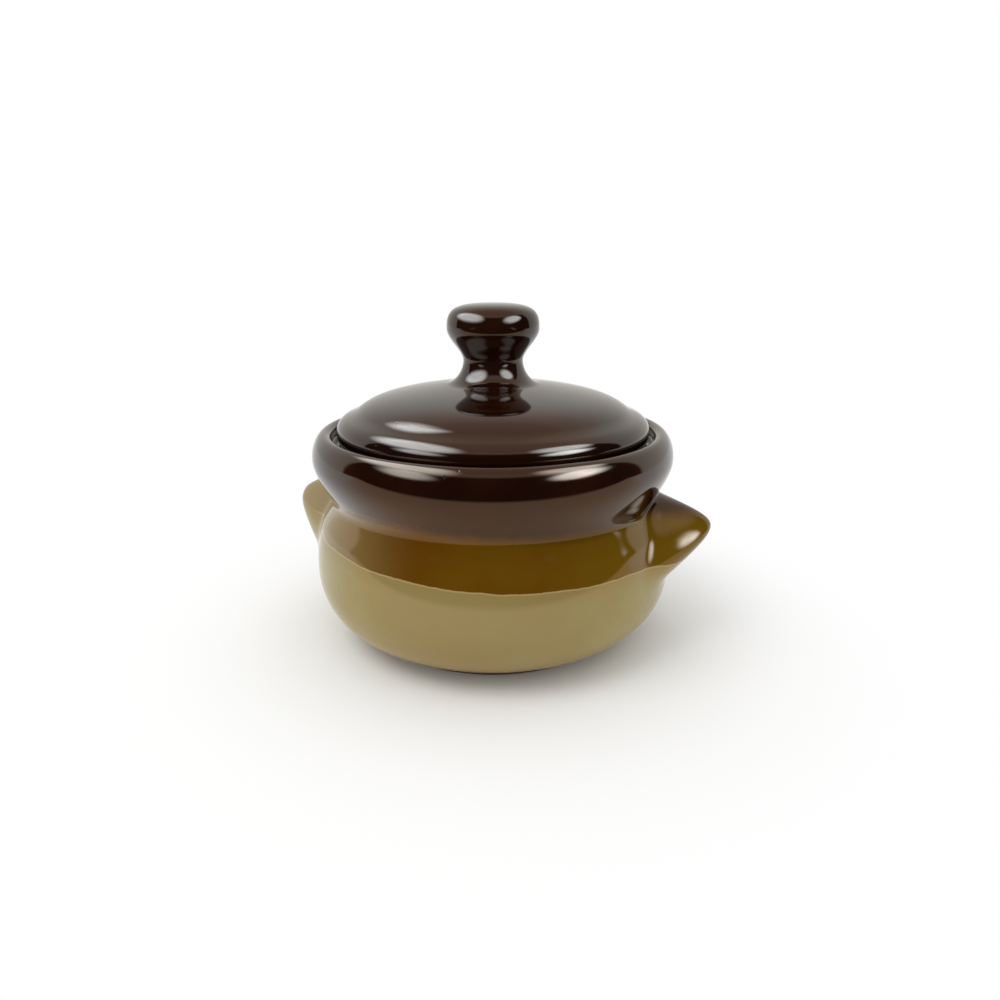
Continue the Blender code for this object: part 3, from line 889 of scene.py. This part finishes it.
# %% A helper for lamps, and the soft lamp
def beside(ahead, aside, height):
    """A point given from the camera's side: towards it, to its right and up."""
    return camera_front * ahead + camera_right * aside + Vector((0, 0, height))


def oval_lamp(name, where, target, wide, tall, shine, roll=0.0):
    """An oval lamp at one point that faces another. The camera doesn't see the lamp itself."""
    lamp = bpy.data.lights.new(name, 'AREA')
    lamp.shape = 'ELLIPSE'
    lamp.size = wide
    lamp.size_y = tall
    lamp.energy = shine * math.pi * math.pi / 4 * wide * tall
    holder = bpy.data.objects.new(name, lamp)
    holder.location = where
    facing = (where - target).to_track_quat('Z', 'Y') @ Quaternion((0, 0, 1), math.radians(roll))
    holder.rotation_euler = facing.to_euler()
    holder.visible_camera = False
    bpy.context.scene.collection.objects.link(holder)
    print(name, round(lamp.energy, 3), "W")
    return holder


lamp_spot, lamp_aim = beside(0.29, -0.345, 0.646), beside(0, 0, 0.11)
soft_lamp = oval_lamp("soft_lamp", lamp_spot, lamp_aim, wide=0.50, tall=0.40, shine=3.1)
soft_lamp.visible_glossy = False

# %% [markdown]
# ## Two cards for the shine
# In the picture every round form carries a pair of bright patches, and on the small knob they are as
# large as on the wide collar. So the two bright things stood close to the knob, like the two sides of
# a small light tent. One big lamp far away would light the pot as well, but its patch on the knob
# would shrink to a dot. A card here is a lamp that only the glaze sees. It is soft at its rim and a
# little streaky, as cloth is with light behind it.

# %% The two cards
CARD_SHINE = 7.0
CARD_COLOUR = (0.97, 1.04, 1.08)
CARD_RIM = (0.20, 0.48)
CARD_WEAVE = (4, 18, 0)
CARD_STREAKS = (0.84, 1.06)


def make_card(holder):
    """Turn a lamp into a card: seen only by the glaze, soft at its rim and a little streaky."""
    holder.visible_diffuse = False
    lamp = holder.data
    lamp.color = CARD_COLOUR
    lamp.use_nodes = True
    tree = lamp.node_tree
    spot = add(tree, "NewGeometry").outputs["Parametric"]
    from_middle = add(tree, "VectorMath", {0: spot, 1: (0.5, 0.5, 0)}, operation='DISTANCE')
    fibres = add(tree, "VectorMath", {0: spot, 1: CARD_WEAVE}, operation='MULTIPLY').outputs["Vector"]
    streaks = fade(tree, cloud(tree, fibres, 1.0, 2), 0.36, 0.64, *CARD_STREAKS)
    soft_rim = fade(tree, from_middle.outputs["Value"], *CARD_RIM, 1.0, 0.0)
    glow = calc(tree, 'MULTIPLY', soft_rim, streaks)
    tree.links.new(glow, tree.nodes["Emission"].inputs["Strength"])


left_spot, left_aim = beside(0.036, -0.088, 0.184), beside(0, 0, 0.110)
make_card(oval_lamp("left_card", left_spot, left_aim, 0.240, 0.125, CARD_SHINE, roll=-8))
right_spot, right_aim = beside(0.062, 0.090, 0.177), beside(-0.023, 0.030, 0.112)
make_card(oval_lamp("right_card", right_spot, right_aim, 0.090, 0.160, CARD_SHINE, roll=-59))

# %% [markdown]
# ## Three small cards close to the clay
# Low on the collar and on one lug there are more bright patches, in places that look down and away from
# the two big cards. The tent's cloth hung lower there. A larger card would reach them too, but it would
# shine on the dark band as well. Three small ones with a narrow beam light just these places: two for
# the collar, in front on the left and the right, and one beside the lug.

# %% The small cards
COLLAR_CARD = (0.072, 0.034)
COLLAR_BEAM = 80
LUG_CARD = (0.020, 0.036)
LUG_BEAM = 56

left_place = (beside(0.0786, -0.0614, 0.103), beside(0.060, -0.021, 0.072))
right_place = (beside(0.0786, 0.0614, 0.103), beside(0.060, 0.021, 0.072))
lug_place = (beside(0.040, 0.091, 0.052), beside(0.029, 0.065, 0.042))
small_cards = (
    ("left_collar_card", left_place, COLLAR_CARD, 1.2, COLLAR_BEAM),
    ("right_collar_card", right_place, COLLAR_CARD, 2.8, COLLAR_BEAM),
    ("lug_card", lug_place, LUG_CARD, 1.0, LUG_BEAM),
)
for name, (where, target), (wide, tall), shine, beam in small_cards:
    card = oval_lamp(name, where, target, wide, tall, shine)
    card.data.spread = math.radians(beam)
    make_card(card)

# %% [markdown]
# ## The room that the glaze sees
# Glossy pots are hard to light, because the glaze shows the whole room. A plain white room would lay
# a milky veil over the brown. In the picture there is white paper behind the pot, a dimmer and warmer
# ceiling, and a dark room behind the camera. Three big sheets could stand for these, but the world's
# own background can do it with no meshes. What the camera sees is plain white, what the light sees is
# an even sky, and only reflections see the dark side.

# %% The room as reflections see it
BACKDROP = 0.85
CEILING = 0.75
DARK = 0.02
BACKDROP_COLOUR = (1.0, 0.97, 0.91)
CEILING_COLOUR = (1.0, 0.70, 0.52)
DARK_STARTS = (-0.21, -0.15)
DARK_ENDS = (0.66, 0.80)
CEILING_STARTS = (0.84, 0.90)
WARM_RISE = (0.50, 0.97)

world = bpy.data.worlds.new("white_room")
world.use_nodes = True
bpy.context.scene.world = world
tree = world.node_tree
towards = add(tree, "TexCoord").outputs["Generated"]
rise = add(tree, "SeparateXYZ", {0: towards}).outputs["Z"]
behind_camera = fade(tree, dot(tree, towards, camera_front), *DARK_STARTS)
dark_side = calc(tree, 'MULTIPLY', behind_camera, fade(tree, rise, *DARK_ENDS, 1.0, 0.0))
paper_or_ceiling = blend_value(tree, fade(tree, rise, *CEILING_STARTS), BACKDROP, CEILING)
room = blend_value(tree, dark_side, paper_or_ceiling, DARK)
room_hue = blend_colour(tree, fade(tree, rise, *WARM_RISE), BACKDROP_COLOUR, CEILING_COLOUR)
print("backdrop", BACKDROP, "ceiling", CEILING, "dark side", DARK)

# %% The sky that lights the clay
SKY = 0.91
BACKGROUND = 1.0

path = add(tree, "LightPath")
is_glossy, is_passed = path.outputs["Is Glossy Ray"], path.outputs["Is Transmission Ray"]
mirrored = calc(tree, 'MAXIMUM', is_glossy, is_passed)
lit = blend_value(tree, mirrored, SKY, room)
seen = blend_value(tree, path.outputs["Is Camera Ray"], lit, BACKGROUND)
tree.links.new(seen, tree.nodes["Background"].inputs["Strength"])
hue = blend_colour(tree, mirrored, WHITE, room_hue)
tree.links.new(hue, tree.nodes["Background"].inputs["Color"])
bpy.context.scene.view_settings.view_transform = 'Standard'
print("sky", SKY, "and a background of", BACKGROUND)
